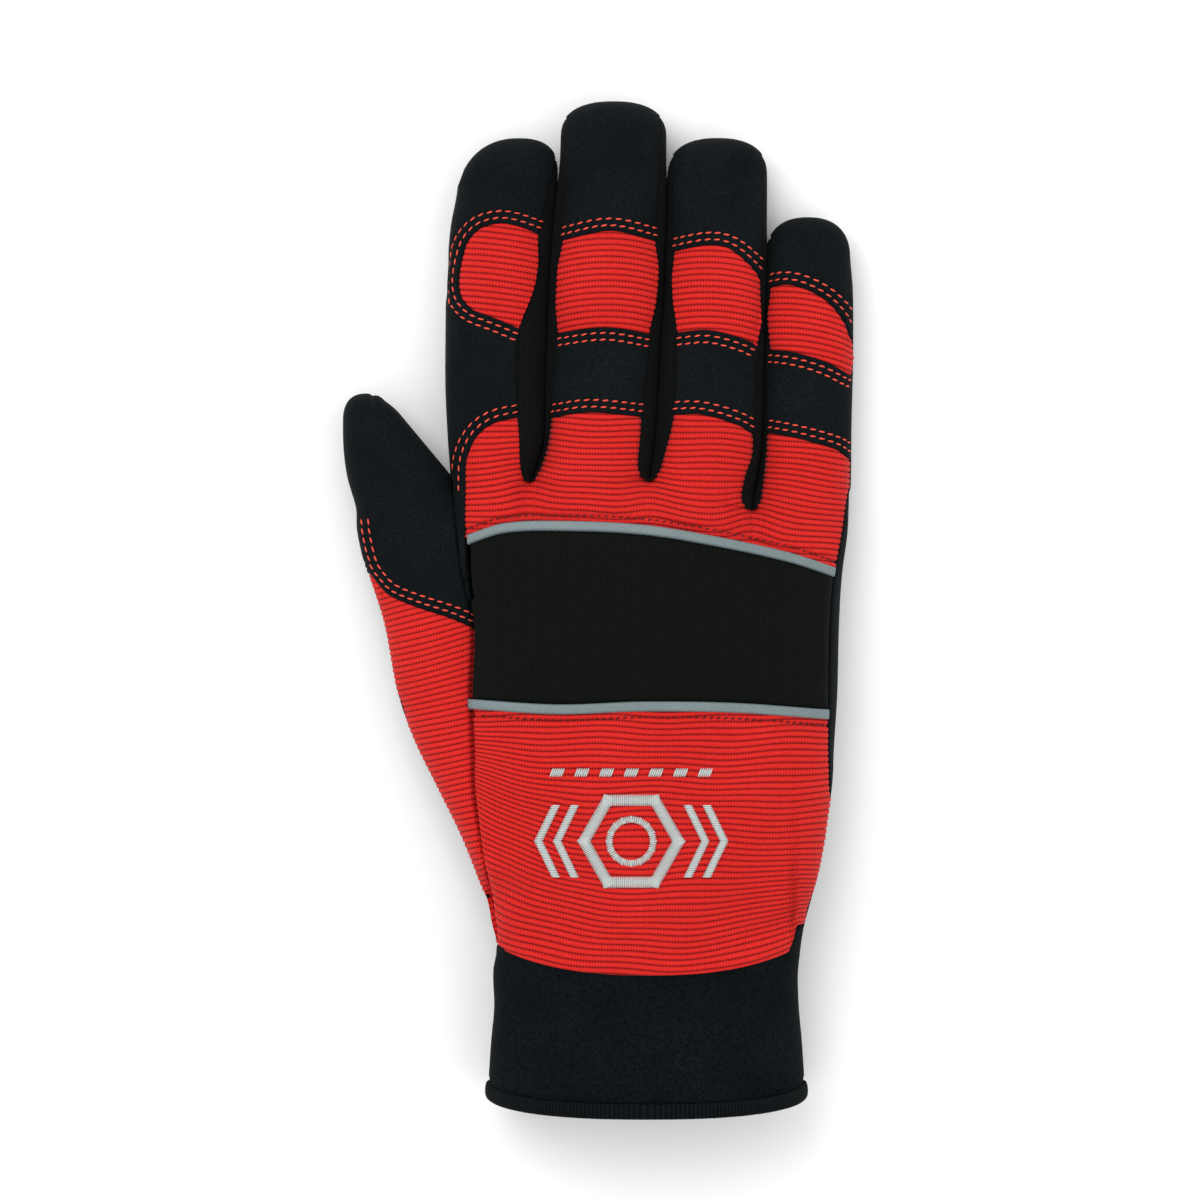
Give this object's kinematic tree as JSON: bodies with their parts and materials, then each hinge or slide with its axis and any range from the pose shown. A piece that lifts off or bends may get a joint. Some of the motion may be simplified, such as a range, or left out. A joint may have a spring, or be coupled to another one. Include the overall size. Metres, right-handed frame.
{
  "type": "mechanic glove",
  "caption": "Right-hand work glove with leather palm and finger tips, ribbed knit back, padded knuckles and a stretch cuff.",
  "frame": {"origin": "middle of the glove's footprint, on the surface that it lies on, palm down", "axes": "+Z out of the back of the hand, +Y towards the finger tips, thumb towards -X"},
  "size_m": [0.1256, 0.2496, 0.0337],
  "materials": {
    "leather": "matte nubuck grain",
    "stretch": "fine dark stretch knit",
    "red_knit": "ribbed stretch knit",
    "neoprene": "fine knit over foam",
    "reflective": "grey reflective tape",
    "fleece": "fleecy stretch loop"
  },
  "bodies": {
    "root": {"palm": "leather", "thumb_palm": "leather", "thumb_back": "leather", "thumb_gusset": "red_knit", "fourchette_index_middle": "stretch", "fourchette_middle_ring": "stretch", "fourchette_ring_little": "stretch", "index_wrap": "leather", "cap_middle": "leather", "cap_ring": "leather", "cap_little": "leather", "knit_index": "red_knit", "knit_middle": "red_knit", "knit_ring": "red_knit", "knit_little": "red_knit", "band_middle": "leather", "band_ring": "leather", "band_little": "leather", "knuckle_panel": "red_knit", "knuckle_pad": "neoprene", "piping_upper": "reflective", "piping_lower": "reflective", "back_panel": "red_knit", "cuff": "fleece", "cuff_binding": "fleece"}
  },
  "joints": []
}
